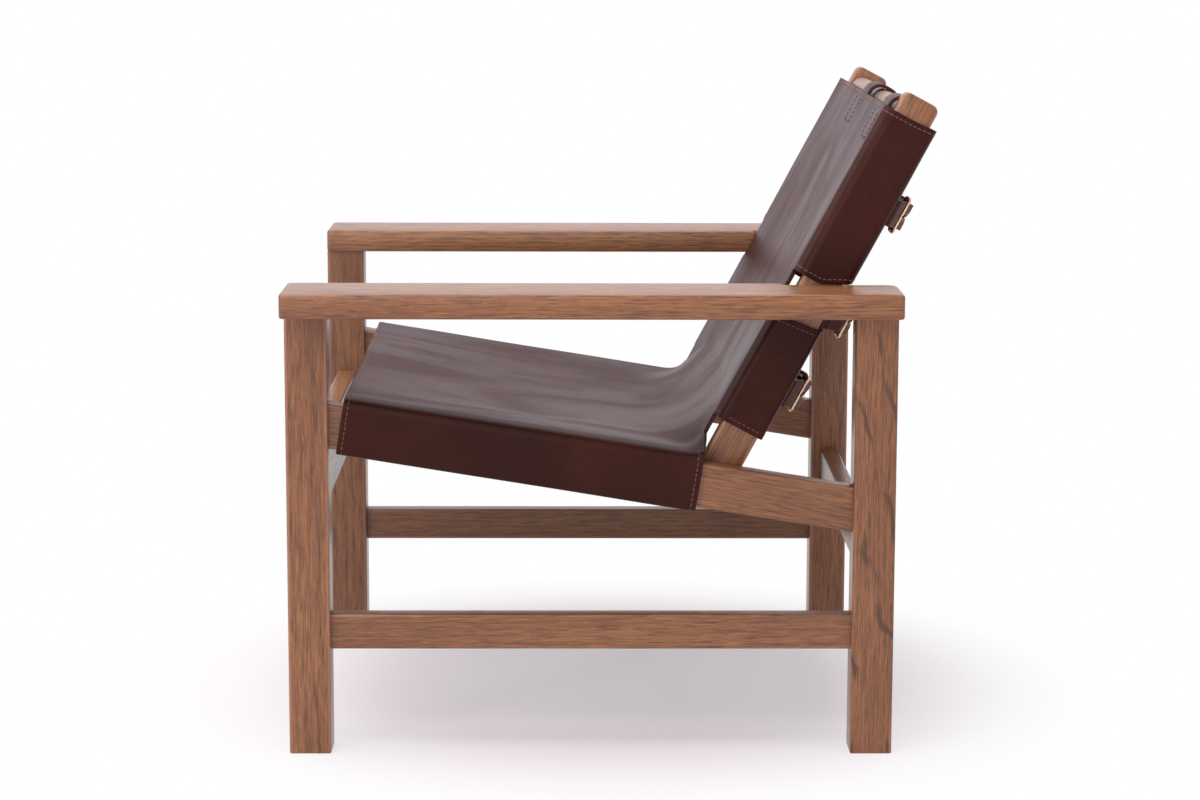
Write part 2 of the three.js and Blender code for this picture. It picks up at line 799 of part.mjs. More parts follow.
// The prong is drawn about its own axis, which is the heel bar's
function prong() {
  const ringInner = buckleBarRadius + clearance;
  const ringOuter = ringInner + prongRingWall;
  const nose = buckleBarSpacing + prongNose;
  const half = prongWidth / 2;
  const arm = outline([
    point(nose, ringInner, prongThickness / 3),
    point(nose, ringInner + prongThickness, prongThickness / 3),
    point(ringOuter, ringInner + prongThickness),
    point(0, ringOuter),
    point(0, ringInner),
  ]);
  const ring = new THREE.CylinderGeometry(ringOuter, ringOuter, prongWidth, roundSteps);
  const bore = new THREE.CylinderGeometry(ringInner, ringInner, prongWidth * 2, roundSteps);
  const body = join(ring.rotateX(quarterTurn), prism(arm, 'z', -half, half));
  return cut(body, bore.rotateX(quarterTurn));
}

// The keeper is a closed loop round the folded strap and the billet's tail
function keeper() {
  const inside = halfStrap + clearance;
  const outside = inside + keeperThickness;
  const top = overFold + strapThickness / 2 + clearance;
  const shape = rectangle(-outside, outside, -keeperThickness, top + keeperThickness, keeperThickness);
  const hole = prism(rectangle(-inside, inside, 0, top, clearance), 'z', -cutOverrun, cutOverrun);
  const body = cut(prism(shape, 'z', -keeperWidth / 2, keeperWidth / 2), hole);
  return body.rotateY(quarterTurn).translate(-keeperFromBar, 0, 0);
}

function strapSet(name, parent, position, turn, standoff) {
  const set = new THREE.Group();
  const sewnY = underBar - standoff;
  set.position.copy(position);
  set.rotation.x = turn;
  parent.add(set);
  place(`${name}_billet`, billet(sewnY), 'leather', set);
  place(`${name}_buckle_strap`, buckleStrap(sewnY), 'leather', set);
  place(`${name}_buckle_frame`, buckleFrame(), 'brass', set);
  place(`${name}_buckle_prong`, prong(), 'brass', set).position.y = heelY;
  place(`${name}_keeper`, keeper(), 'leather', set);
}

const lowerStrapAlong = lowerFlapBottom + (lowerFlapTopRear - lowerFlapBottom) * lowerStrapShare;
const upperStrapAlong = upperFlapBottomRear + (backTopHem - upperFlapBottomRear) * upperStrapShare;
const backStraps = {
  back_lower: [lowerStrapAlong, lowerFlapRear, lowerStrapStandoff],
  back_middle: [tongueTop - middleStrapDrop, lowerFlapRear, middleStrapStandoff],
  back_upper: [upperStrapAlong, upperFlapRear, upperStrapStandoff],
};
Object.entries(backStraps).forEach(([name, [along, flapRear, standoff]]) => {
  strapSet(name, backFrame, new THREE.Vector3(heelX, flapRear + standoff, along), 0, standoff);
});

const rowNames = ['seat_front', 'seat_middle', 'seat_rear'];
seatStrapShares.forEach((share, index) => {
  const along = seatFrontHem + (seatRearHem - seatFrontHem) * share;
  const under = -railDepth - clearance - hideThickness - seatStrapStandoff;
  const start = new THREE.Vector3(heelX, along, under);
  strapSet(rowNames[index], seatFrame, start, -quarterTurn, seatStrapStandoff);
});

// The chair stands on z = 0 with its bounding box centred on the origin
const group = new THREE.Group();
group.add(chair);
group.updateMatrixWorld(true);
const bounds = new THREE.Box3().setFromObject(chair, true);
chair.position.y = -(bounds.min.y + bounds.max.y) / 2;

export default group;
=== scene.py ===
import math

import bmesh
import bpy
from mathutils import Matrix, Vector, geometry, noise


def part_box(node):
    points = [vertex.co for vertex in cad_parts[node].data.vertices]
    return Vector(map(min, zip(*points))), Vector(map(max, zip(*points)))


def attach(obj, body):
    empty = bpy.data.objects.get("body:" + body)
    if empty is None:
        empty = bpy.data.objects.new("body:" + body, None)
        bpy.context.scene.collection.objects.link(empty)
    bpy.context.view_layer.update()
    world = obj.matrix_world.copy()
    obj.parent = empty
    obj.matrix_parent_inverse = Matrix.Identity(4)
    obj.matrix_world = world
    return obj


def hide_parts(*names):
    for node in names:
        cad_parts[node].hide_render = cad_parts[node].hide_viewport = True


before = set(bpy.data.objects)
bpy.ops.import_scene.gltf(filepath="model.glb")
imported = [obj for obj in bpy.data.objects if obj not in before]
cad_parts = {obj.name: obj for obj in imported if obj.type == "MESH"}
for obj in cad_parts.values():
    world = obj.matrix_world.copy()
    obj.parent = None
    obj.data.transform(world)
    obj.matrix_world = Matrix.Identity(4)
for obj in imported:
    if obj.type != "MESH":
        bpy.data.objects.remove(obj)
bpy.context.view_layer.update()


# Camera. It stands 3.8 m off the sitter's left side and a metre up, looks square across the
# chair through a long lens, and is tipped down 9 degrees so that the whole chair is framed.
camera_place = Vector((3.8173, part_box("left_front_leg")[0].y + 0.3362, 0.9958))
camera_yaw = math.radians(0.555)
camera_pitch = math.radians(9.264)
camera_roll = math.radians(0.152)
picture_side = Vector((math.sin(camera_yaw), math.cos(camera_yaw), 0))
level_backward = Vector((math.cos(camera_yaw), -math.sin(camera_yaw), 0))
plumb = Vector((0, 0, 1))
backward = level_backward * math.cos(camera_pitch) + plumb * math.sin(camera_pitch)
steep = plumb * math.cos(camera_pitch) - level_backward * math.sin(camera_pitch)
rightward = picture_side * math.cos(camera_roll) + steep * math.sin(camera_roll)
upward = steep * math.cos(camera_roll) - picture_side * math.sin(camera_roll)
camera_turn = Matrix((rightward, upward, backward)).transposed()
camera = bpy.data.objects.new("camera", bpy.data.cameras.new("camera"))
camera.data.lens = 90
camera.data.sensor_width = 36
camera.data.clip_end = 200
camera.matrix_world = Matrix.Translation(camera_place) @ camera_turn.to_4x4()
bpy.context.scene.collection.objects.link(camera)
bpy.context.scene.camera = camera


# Legs. Four square oak posts, 48 by 50 mm and 532 mm tall, each with a stub tenon up into the
# armrest. The oak is stained a warm brown and oiled, so its pores and year rings stay darker.
MM = 0.001


class Signal:
    """A socket of a shader tree. Arithmetic on it adds Math nodes, and node() adds any other."""

    def __init__(self, tree, socket=None):
        self.tree = tree
        self.socket = socket

    def node(self, kind, settings=None, values=None, output=0):
        made = self.tree.nodes.new(kind)
        for name, value in (settings or {}).items():
            setattr(made, name, value)
        for name, value in (values or {}).items():
            if isinstance(value, Signal):
                self.tree.links.new(value.socket, made.inputs[name])
            else:
                made.inputs[name].default_value = value
        return Signal(self.tree, made.outputs[output] if made.outputs else None)

    def sum(self, operation, first, second):
        return self.node("ShaderNodeMath", {"operation": operation}, {0: first, 1: second})

    def __add__(self, other):
        return self.sum("ADD", self, other)

    __radd__ = __add__

    def __sub__(self, other):
        return self.sum("SUBTRACT", self, other)

    def __rsub__(self, other):
        return self.sum("SUBTRACT", other, self)

    def __mul__(self, other):
        return self.sum("MULTIPLY", self, other)

    __rmul__ = __mul__

    def __truediv__(self, other):
        return self.sum("DIVIDE", self, other)

    def __pow__(self, other):
        return self.sum("POWER", self, other)

    def between(self, low, high):
        """0 at low, 1 at high, and smooth from one to the other."""
        settings = {"interpolation_type": "SMOOTHSTEP"}
        return self.node("ShaderNodeMapRange", settings, {0: self, 1: low, 2: high, 3: 0.0, 4: 1.0})

    def dye(self, ground, colour):
        """The ground colour, replaced by another where this signal is 1."""
        settings = {"data_type": "RGBA"}
        return self.node("ShaderNodeMix", settings, {0: self, 6: ground, 7: colour}, output=2)


def paint(red, green, blue):
    """A colour as it looks on a screen, as the linear numbers of a shader."""
    def linear(part):
        part = part / 255
        return part / 12.92 if part <= 0.04045 else ((part + 0.055) / 1.055) ** 2.4
    return (linear(red), linear(green), linear(blue), 1.0)


def new_finish(name):
    """A bare material, and a signal to start its shader from."""
    material = bpy.data.materials.new(name)
    material.use_nodes = True
    material.node_tree.nodes.clear()
    return material, Signal(material.node_tree)


def coated(shader, values):
    """Ends a shader: one Principled surface, with its output."""
    surface = shader.node("ShaderNodeBsdfPrincipled", values=values)
    shader.node("ShaderNodeOutputMaterial", values={"Surface": surface})


def oiled_oak(piece, grain, pith, seed, tone_and_shade, flame=0.2, painted_sheen=0.0):
    """Stained, oiled oak.

    Grain is the way it grew, pith the tree's heart in mm off the piece's middle, seed the spot in the
    tree and flame how bold its dark figure is. The fifth value scales every colour: on most pieces it is
    their own shade of brown, and on the far front leg and far stretcher it is painted shade. The last
    value draws the colour towards a light greyish pink, a painted sheen of light from above on the dowel.
    """
    low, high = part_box(piece)
    middle = (low + high) / 2
    grain = Vector(grain).normalized()
    wide = Vector((0, 0, 1)) if abs(grain.x) > 0.9 else Vector((1, 0, 0))
    wide = (wide - grain * wide.dot(grain)).normalized()
    deep = grain.cross(wide)
    corners = [vertex.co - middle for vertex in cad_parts[piece].data.vertices]
    half_wide = max(abs(corner.dot(wide)) for corner in corners)
    half_deep = max(abs(corner.dot(deep)) for corner in corners)
    material, wood = new_finish(piece + "_oak")
    place = wood.node("ShaderNodeTexCoord", output=3)
    place = wood.node("ShaderNodeVectorMath", {"operation": "SUBTRACT"}, {0: place, 1: middle})

    def along(way):
        return wood.node("ShaderNodeVectorMath", {"operation": "DOT_PRODUCT"}, {0: place, 1: way}, output=1)

    length, width, depth = along(grain), along(wide), along(deep)

    def figure(stretch, scale, detail, shift):
        far = length * stretch + (seed + shift)
        spot = wood.node("ShaderNodeCombineXYZ", values={0: width, 1: depth, 2: far})
        return wood.node("ShaderNodeTexNoise", values={"Vector": spot, "Scale": scale, "Detail": detail})

    ring_width = 4.6 * MM
    sway = figure(0.16, 8, 2, 0) - 0.5
    flutter = figure(0.05, 70, 2, 3) - 0.5
    from_pith = ((width - pith[0] * MM) ** 2 + (depth - pith[1] * MM) ** 2) ** 0.5
    rings = (from_pith + sway * 0.040 + flutter * 0.004) / ring_width
    year = wood.sum("FRACT", rings, 0)
    early = 1 - year.between(0.0, 0.5) + year.between(0.86, 1.0)
    pores = figure(0.04, 980, 2, 7).between(0.50, 0.64) * (early * 0.5 + 0.5)
    streaks = figure(0.05, 560, 3, 11).between(0.46, 0.66)
    bands = figure(0.05, 190, 3, 12).between(0.40, 0.68)
    fleck = figure(0.07, 640, 2, 13).between(0.58, 0.72)
    heart = figure(0.16, 34, 4, 17).between(0.58, 0.74)
    drift = figure(0.35, 22, 4, 29) * 1.4 + width * 9 + depth * 22 + length * 7.5
    vein = wood.sum("ABSOLUTE", wood.sum("FRACT", drift, 0) - 0.5, 0)
    vein = (1 - vein.between(0.02, 0.11)) * figure(0.3, 55, 3, 31).between(0.40, 0.58)
    cloud = figure(0.3, 9, 2, 23).between(0.3, 0.7)

    light = paint(162 * tone_and_shade, 110 * tone_and_shade, 67 * tone_and_shade)
    brown = paint(143 * tone_and_shade, 92 * tone_and_shade, 55 * tone_and_shade)
    colour = cloud.dye(light, brown)
    colour = (early * 0.30).dye(colour, paint(118 * tone_and_shade, 73 * tone_and_shade, 42 * tone_and_shade))
    colour = (bands * 0.34).dye(colour, paint(112 * tone_and_shade, 69 * tone_and_shade, 40 * tone_and_shade))
    colour = (streaks * 0.56).dye(colour, paint(96 * tone_and_shade, 57 * tone_and_shade, 33 * tone_and_shade))
    colour = (fleck * 0.44).dye(colour, paint(190 * tone_and_shade, 136 * tone_and_shade, 86 * tone_and_shade))
    colour = (heart * 0.34).dye(colour, paint(92 * tone_and_shade, 56 * tone_and_shade, 33 * tone_and_shade))
    colour = (vein * flame).dye(colour, paint(72 * tone_and_shade, 43 * tone_and_shade, 26 * tone_and_shade))
    colour = (pores * 0.76).dye(colour, paint(70 * tone_and_shade, 41 * tone_and_shade, 25 * tone_and_shade))
    # Painted sheen: the colour is drawn towards a light greyish pink, the way light from above makes the
    # dowel look.
    if painted_sheen:
        colour = (cloud * 0.1 + painted_sheen).dye(colour, paint(184, 148, 132))
    # Lighter along the long edges: wear, and a painted highlight where light catches the rounded edges.
    out_from_middle = wood.sum("ABSOLUTE", width, 0) + wood.sum("ABSOLUTE", depth, 0)
    sharp_edge = half_wide + half_deep
    worn_and_highlit = out_from_middle.between(sharp_edge - 4.5 * MM, sharp_edge - 2.0 * MM)
    colour = (worn_and_highlit * 0.42).dye(colour, paint(190 * tone_and_shade, 140 * tone_and_shade, 110 * tone_and_shade))
    roughness = pores * 0.2 + streaks * 0.06 + 0.34
    height = 1 - pores * 0.8 - early * 0.2
    relief = wood.node("ShaderNodeBump", values={"Height": height, "Strength": 0.3, "Distance": 0.3 * MM})
    coated(wood, {"Base Color": colour, "Roughness": roughness, "Normal": relief, "Specular IOR Level": 0.42,
                  "Coat Weight": 0.42, "Coat Roughness": 0.3})
    return material


smooth_below = math.radians(32)
soft_edges = bpy.data.node_groups.new("soft_edges", "GeometryNodeTree")
soft_edges.interface.new_socket("Geometry", in_out="INPUT", socket_type="NodeSocketGeometry")
soft_edges.interface.new_socket("Geometry", in_out="OUTPUT", socket_type="NodeSocketGeometry")
edges_in = soft_edges.nodes.new("NodeGroupInput")
edges_smooth = soft_edges.nodes.new("GeometryNodeSetShadeSmooth")
edges_sharp = soft_edges.nodes.new("GeometryNodeSetShadeSmooth")
edges_sharp.domain = "EDGE"
edges_sharp.inputs["Shade Smooth"].default_value = False
edge_angle = soft_edges.nodes.new("GeometryNodeInputMeshEdgeAngle")
edge_limit = soft_edges.nodes.new("FunctionNodeCompare")
edge_limit.operation = "GREATER_THAN"
edge_limit.inputs[1].default_value = smooth_below
edges_out = soft_edges.nodes.new("NodeGroupOutput")
soft_edges.links.new(edges_in.outputs[0], edges_smooth.inputs[0])
soft_edges.links.new(edges_smooth.outputs[0], edges_sharp.inputs[0])
soft_edges.links.new(edge_angle.outputs[0], edge_limit.inputs[0])
soft_edges.links.new(edge_limit.outputs[0], edges_sharp.inputs["Selection"])
soft_edges.links.new(edges_sharp.outputs[0], edges_out.inputs[0])


def sanded(piece, material):
    """Gives a rigid piece its finish, and shades its rounded edges smooth."""
    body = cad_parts[piece]
    weld = body.modifiers.new("weld", "WELD")
    weld.merge_threshold = 0.01 * MM
    soften = body.modifiers.new("soften", "NODES")
    soften.node_group = soft_edges
    body.data.materials.clear()
    body.data.materials.append(material)


upright = (0, 0, 1)
sanded("left_front_leg", oiled_oak("left_front_leg", upright, (-95, 60), 1.3, 1.0, 0.2))
# The far front leg is toned darker than its fellows: painted shade of the far side.
sanded("right_front_leg", oiled_oak("right_front_leg", upright, (120, -40), 5.1, 0.91))
sanded("left_rear_leg", oiled_oak("left_rear_leg", (0.01, 0.015, 1), (60, 42), 9.7, 1.02, 0.8))
sanded("right_rear_leg", oiled_oak("right_rear_leg", upright, (-140, 90), 14.2, 0.99))


# Armrests. Flat oak boards 29 mm thick that lie on the leg tops, cut back inside where the
# back posts pass, with every edge rounded by hand.
sanded("left_armrest", oiled_oak("left_armrest", (0.012, 1, 0.008), (30, 170), 21.6, 1.03))
sanded("right_armrest", oiled_oak("right_armrest", (-0.01, 1, 0.01), (-50, 150), 27.4, 1.01))


# Rails. Low stretchers join each pair of side legs, sloping rails carry the seat, and a deep
# rail in front and a shallower one behind hold the two sides apart. All are tenoned oak.
seat_slope = math.radians(9.15)
seat_down = (0, math.cos(seat_slope), -math.sin(seat_slope))
sanded("left_lower_stretcher", oiled_oak("left_lower_stretcher", (0, 1, 0.012), (-80, 60), 33.8, 1.0))
# The far stretcher is toned darker: painted shade, as the seat shades it.
sanded("right_lower_stretcher", oiled_oak("right_lower_stretcher", (0, 1, 0), (90, 40), 38.5, 0.88))
sanded("left_seat_rail", oiled_oak("left_seat_rail", (0, 1, -0.19), (-45, 90), 42.9, 0.97, 0.35))
sanded("right_seat_rail", oiled_oak("right_seat_rail", seat_down, (70, -60), 47.3, 0.96))
sanded("front_cross_rail", oiled_oak("front_cross_rail", (1, 0, 0.02), (20, 120), 52.1, 0.98))
sanded("rear_cross_rail", oiled_oak("rear_cross_rail", (1, 0, -0.01), (-30, 90), 58.6, 0.98))


# Back posts and dowel. Two leaning oak posts, 28 by 46 mm, are bolted inside the rails and
# armrests, and a 28 mm oak dowel is let into their tops.
back_tilt = math.radians(28.2)
post_up = (0, math.sin(back_tilt), math.cos(back_tilt))
sanded("left_back_post", oiled_oak("left_back_post", post_up, (50, 60), 63.4, 1.02))
sanded("right_back_post", oiled_oak("right_back_post", post_up, (-70, 50), 68.8, 1.0))
sanded("top_dowel", oiled_oak("top_dowel", (1, 0, 0), (60, 80), 74.5, 0.94, 0.0, 0.36))


# Bolts. Zinc-plated steel cap heads, 14 mm across, sunk in the inner faces of the back posts.
# There are four: each post is bolted to its seat rail and to its armrest.
zinc_finish, zinc = new_finish("zinc_plate")
zinc_place = zinc.node("ShaderNodeTexCoord", output=3)
zinc_grain = zinc.node("ShaderNodeTexNoise", values={"Vector": zinc_place, "Scale": 900.0, "Detail": 3.0})
coated(zinc, {
    "Base Color": zinc_grain.dye(paint(176, 178, 182), paint(150, 152, 158)),
    "Metallic": 1.0,
    "Roughness": zinc_grain * 0.16 + 0.28,
})
for bolt in ("left_rail_bolt", "right_rail_bolt", "left_armrest_bolt", "right_armrest_bolt"):
    sanded(bolt, zinc_finish)


# Hide. One piece of dark brown harness leather, 5 mm thick: seat and back in a single panel,
# with flaps that wrap the rails and the posts. The flaps are hemmed by a row of stitches, and
# the middle gives a little between the rails.
shift = -360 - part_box("left_front_leg")[0].y / MM
sling_thick = 5
panel_edge = 284
seat_front = 18
seat_rear = 447.6
back_top = 516.5
lower_foot, lower_top = 100, 240.5
upper_foot = 296.7
tongue_top = 288.9
hem_climb = 0.112
armrest_above_pivot = 262.2
seat_sin, seat_cos = math.sin(seat_slope), math.cos(seat_slope)
back_sin, back_cos = math.sin(back_tilt), math.cos(back_tilt)


def on_seat(x, along, rise):
    """A place given along the seat rail and above its top, in mm."""
    y = -310 - shift + along * seat_cos + rise * seat_sin
    return Vector((x, y, 422.5 - along * seat_sin + rise * seat_cos)) * MM


def on_back(x, along, across):
    """A place given up the back post and behind its middle, in mm."""
    y = 130.8 - shift + along * back_sin + across * back_cos
    return Vector((x, y, 300 + along * back_cos - across * back_sin)) * MM


def eased(value, low, high):
    share = min(max((value - low) / (high - low), 0), 1)
    return share * share * (3 - 2 * share)


seat_rise = 8.5
back_front = -33
turn = math.radians(90) + seat_slope - back_tilt
corner_along_seat = 440.3
corner_along_back = 51.4


def fillet(x):
    """Radius of the bend from seat to back: tight at the cut edge, wide in the middle."""
    share = min(abs(x) / panel_edge, 1)
    return 108 - 73 * share ** 5


def panel(x, row):
    """The panel's middle surface. Row runs 0 to 1 over the seat, to 2 round the bend, to 3 up the back."""
    radius = fillet(x)
    reach = radius * math.tan(turn / 2)
    middle = 1 - (x / panel_edge) ** 2
    if row <= 1:
        along = seat_front + row * (corner_along_seat - reach - seat_front)
        slack = 9 * eased(row, 0.0, 0.55) + 1.5
        return on_seat(x, along, seat_rise - slack * middle)
    if row >= 2:
        along = corner_along_back + reach + (row - 2) * (back_top - corner_along_back - reach)
        slack = 7 * (1 - eased(row, 2.35, 3.0)) + 2
        return on_back(x, along, back_front + slack * middle)
    angle = (row - 1) * turn
    forward = corner_along_seat - reach + radius * math.sin(angle)
    lift = seat_rise + radius * (1 - math.cos(angle))
    slack = 10.5 * middle
    return on_seat(x, forward + slack * math.sin(angle), lift - slack * math.cos(angle))


def edge_row(along):
    """The row of the panel's cut edge at a distance along the seat rail."""
    radius = fillet(panel_edge)
    start = corner_along_seat - radius * math.tan(turn / 2)
    if along <= start:
        return (along - seat_front) / (start - seat_front)
    return 1 + math.asin(min((along - start) / radius, 1)) / turn


def edge_row_on_back(along):
    start = corner_along_back + fillet(panel_edge) * math.tan(turn / 2)
    return 2 + (along - start) / (back_top - start)


def bent(corners, spacing):
    """Points of a line of (a, b, radius) corners, each rounded, spaced about evenly."""
    line = []
    for place, (a, b, radius) in enumerate(corners):
        here = Vector((a, b))
        if radius == 0:
            line.append(here)
            continue
        before = (Vector(corners[place - 1][:2]) - here).normalized()
        after = (Vector(corners[place + 1][:2]) - here).normalized()
        half = before.angle(after) / 2
        centre = here + (before + after).normalized() * radius / math.sin(half)
        start = here + before * radius / math.tan(half) - centre
        end = here + after * radius / math.tan(half) - centre
        sweep = start.angle_signed(end)
        for step in range(7):
            angle = -sweep * step / 6
            line.append(centre + Vector((
                start.x * math.cos(angle) - start.y * math.sin(angle),
                start.x * math.sin(angle) + start.y * math.cos(angle),
            )))
    filled = [line[0]]
    for here in line[1:]:
        gap = (here - filled[-1]).length
        steps = max(1, round(gap / spacing))
        last = filled[-1]
        filled.extend(last.lerp(here, step / steps) for step in range(1, steps + 1))
    return filled


flank = 307.5
lower_rear, upper_rear = 25.8, 30.5
lip_end = 274.7
seat_wrap_line = bent([
    (panel_edge, seat_rise, 0), (314, 9.4, 70), (335.8, 6.6, 10.5), (335.8, -56.1, 5.5), (275, -56.1, 0),
], 7)
post_fold = [(panel_edge, back_front, 0), (291, -33.2, 10), (flank, -27.0, 7.5)]
lower_wrap_line = bent(post_fold + [(flank, lower_rear, 5.3), (lip_end, lower_rear, 0)], 6)
upper_wrap_line = bent(post_fold + [(flank, upper_rear, 9), (lip_end, upper_rear, 0)], 6)


def seat_wrap(place, along):
    """The wrap round a seat rail: its top climbs with the panel towards the back."""
    x, rise = seat_wrap_line[place]
    edge = panel(panel_edge, edge_row(along))
    climb = (edge - on_seat(panel_edge, along, seat_rise)).length / MM
    fade = 1 - eased(x + max(0, -rise), panel_edge, 350)
    return on_seat(x, along, rise + climb * fade)


def lower_hem(across):
    """The top hem of the lower flap, which climbs under the armrest towards the rear."""
    return lower_top + (across - back_front) * hem_climb


def lower_flap(place, rise):
    """The lower flap, round a back post."""
    x, across = lower_wrap_line[place]
    return on_back(x, lower_foot + (lower_hem(across) - lower_foot) * rise, across)


def tongue(place, rise):
    """The narrow tongue of the lower flap that goes up behind the post, inside the armrest."""
    x, across = lower_wrap_line[place]
    foot = lower_hem(across)
    return on_back(x, foot + (tongue_top - foot) * rise, across)


def upper_flap(place, rise):
    """The upper flap. Its bottom hem is square to the post, then follows the armrest's top."""
    x, across = upper_wrap_line[place]
    bottom = max(upper_foot, (armrest_above_pivot + across * back_sin) / back_cos)
    top = back_top + 1.4 * eased(across, 0, 30)
    return on_back(x, bottom + (top - bottom) * rise, across)


def ruffle(place):
    """The small unevenness of drawn leather."""
    soft = noise.noise(place * 6) * 0.7 + noise.noise(place * 17 + Vector((3, 5, 7))) * 0.3
    return soft * 0.7 * MM


sling = bmesh.new()
sling_corners = {}


def sling_corner(place):
    """The vertex at a place, made once, so that panel and flaps share their edges."""
    key = (round(place.x * 1e5), round(place.y * 1e5), round(place.z * 1e5))
    if key not in sling_corners:
        sling_corners[key] = sling.verts.new(place)
    return sling_corners[key]


def lay(rows):
    """Faces over a grid of places, the same way round on both sides of the chair."""
    corners = [[sling_corner(place) for place in row] for row in rows]
    for low, high in zip(corners, corners[1:]):
        for left in range(len(low) - 1):
            sling.faces.new((low[left], low[left + 1], high[left + 1], high[left]))


def spread(low, high, count):
    return [low + (high - low) * step / count for step in range(count + 1)]


seat_places = spread(seat_front, 409, 34) + spread(415.3, seat_rear, 5)
notch_rows = spread(edge_row(seat_rear), edge_row_on_back(lower_foot), 4)[1:-1]
lower_share = spread(0, 1, 12)
gap_places = spread(lower_top, upper_foot, 5)[1:-1]
upper_share = spread(0, 1, 20)
panel_rows = [edge_row(along) for along in seat_places] + notch_rows
panel_rows += [edge_row_on_back(lower_foot + (lower_top - lower_foot) * share) for share in lower_share]
panel_rows += [edge_row_on_back(along) for along in gap_places]
panel_rows += [edge_row_on_back(upper_foot + (back_top - upper_foot) * share) for share in upper_share]
panel_columns = spread(-panel_edge, panel_edge, 52)
lay([[panel(x, row) for x in panel_columns] for row in panel_rows])


def flipped(place):
    return Vector((-place.x, place.y, place.z))


def lay_pair(rows):
    """A flap on the left, and its mirror on the right."""
    lay(rows)
    lay([[flipped(place) for place in reversed(row)] for row in rows])


seat_edge_places = range(len(seat_wrap_line))
back_edge_places = range(len(upper_wrap_line))
low_edge_places = range(len(lower_wrap_line))
lay_pair([[seat_wrap(place, along) for place in seat_edge_places] for along in seat_places])
lay_pair([[lower_flap(place, share) for place in low_edge_places] for share in lower_share])
lay_pair([[upper_flap(place, share) for place in back_edge_places] for share in upper_share])
tongue_edge = 302.3
behind = [place for place in low_edge_places
          if lower_wrap_line[place].x <= tongue_edge and lower_wrap_line[place].y > lower_rear - 0.1]
lay_pair([[tongue(place, share) for place in behind] for share in spread(0, 1, 6)])

sling.normal_update()
for vertex in sling.verts:
    vertex.co += vertex.normal * ruffle(vertex.co)


def shown(name, data):
    """A smooth-shaded piece of the scene, from its mesh data."""
    data.shade_smooth()
    piece = bpy.data.objects.new(name, data)
    bpy.context.scene.collection.objects.link(piece)
    return piece


def drawn(name, mesh):
    """A smooth-shaded piece of the scene, from an editable mesh, which is left empty."""
    data = bpy.data.meshes.new(name)
    mesh.to_mesh(data)
    mesh.clear()
    return shown(name, data)


sling_hide = drawn("sling_hide", sling)


def tanned(name, shade, gloss):
    """Waxed brown leather: fine grain, faint drawn wrinkles, cloudy colour, and broad bands of painted sheen.
    """
    def toned(share):
        return paint(*(part * share for part in shade))

    material, hide = new_finish(name)
    place = hide.node("ShaderNodeTexCoord", output=3)
    cloud = hide.node("ShaderNodeTexNoise", values={"Vector": place, "Scale": 7.0, "Detail": 4.0})
    mottle = hide.node("ShaderNodeTexNoise", values={"Vector": place, "Scale": 55.0, "Detail": 4.0})
    grain = hide.node("ShaderNodeTexVoronoi", values={"Vector": place, "Scale": 620.0})
    fine = hide.node("ShaderNodeTexNoise", values={"Vector": place, "Scale": 1400.0, "Detail": 2.0})

    def stretched(pull, distortion):
        """Noise drawn out along the hide."""
        pulled = hide.node("ShaderNodeVectorMath", {"operation": "MULTIPLY"}, {0: place, 1: pull})
        return hide.node("ShaderNodeTexNoise", values={
            "Vector": pulled, "Scale": 1.0, "Detail": 3.0, "Distortion": distortion})

    wrinkle = stretched((30, 6, 6), 0.6)
    sheen_band = stretched((7, 3, 3), 1.4)
    colour = cloud.between(0.3, 0.7).dye(toned(0.86), toned(1.12))
    colour = (mottle.between(0.45, 0.7) * 0.35).dye(colour, toned(0.8))
    # Painted sheen: the colour is lightened along the broad sheen bands.
    colour = (sheen_band.between(0.35, 0.72) * 0.22).dye(colour, toned(1.5))
    roughness = mottle * 0.07 + sheen_band.between(0.34, 0.66) * 0.15 + wrinkle * 0.02 + gloss - 0.05
    height = grain * 0.22 + fine * 0.2 + wrinkle * 0.7
    relief = hide.node("ShaderNodeBump", values={"Height": height, "Strength": 0.3, "Distance": 0.35 * MM})
    coated(hide, {"Base Color": colour, "Roughness": roughness, "Normal": relief, "Specular IOR Level": 0.06,
                  "Sheen Weight": 0.03, "Sheen Roughness": 0.35, "Sheen Tint": (0.9, 0.72, 1.0, 1.0),
                  "Coat Weight": 0.14, "Coat Roughness": 0.3, "Coat Tint": (1.0, 0.93, 0.95, 1.0)})
    return material


harness_leather = tanned("harness_leather", (55, 24, 17), 0.34)
burnished_edge = tanned("burnished_edge", (70, 42, 37), 0.42)
flesh_side, flesh = new_finish("flesh_side")
flesh_place = flesh.node("ShaderNodeTexCoord", output=3)
flesh_nap = flesh.node("ShaderNodeTexNoise", values={"Vector": flesh_place, "Scale": 700.0, "Detail": 4.0})
flesh_cloud = flesh.node("ShaderNodeTexNoise", values={"Vector": flesh_place, "Scale": 22.0, "Detail": 3.0})
flesh_tone = (flesh_cloud * 0.6 + flesh_nap * 0.4).between(0.35, 0.65)
flesh_relief = flesh.node("ShaderNodeBump", values={
    "Height": flesh_nap, "Strength": 0.5, "Distance": 0.3 * MM})
coated(flesh, {
    "Base Color": flesh_tone.dye(paint(66, 40, 33), paint(88, 57, 48)),
    "Roughness": flesh_nap * 0.12 + 0.78,
    "Normal": flesh_relief,
    "Specular IOR Level": 0.0,
})


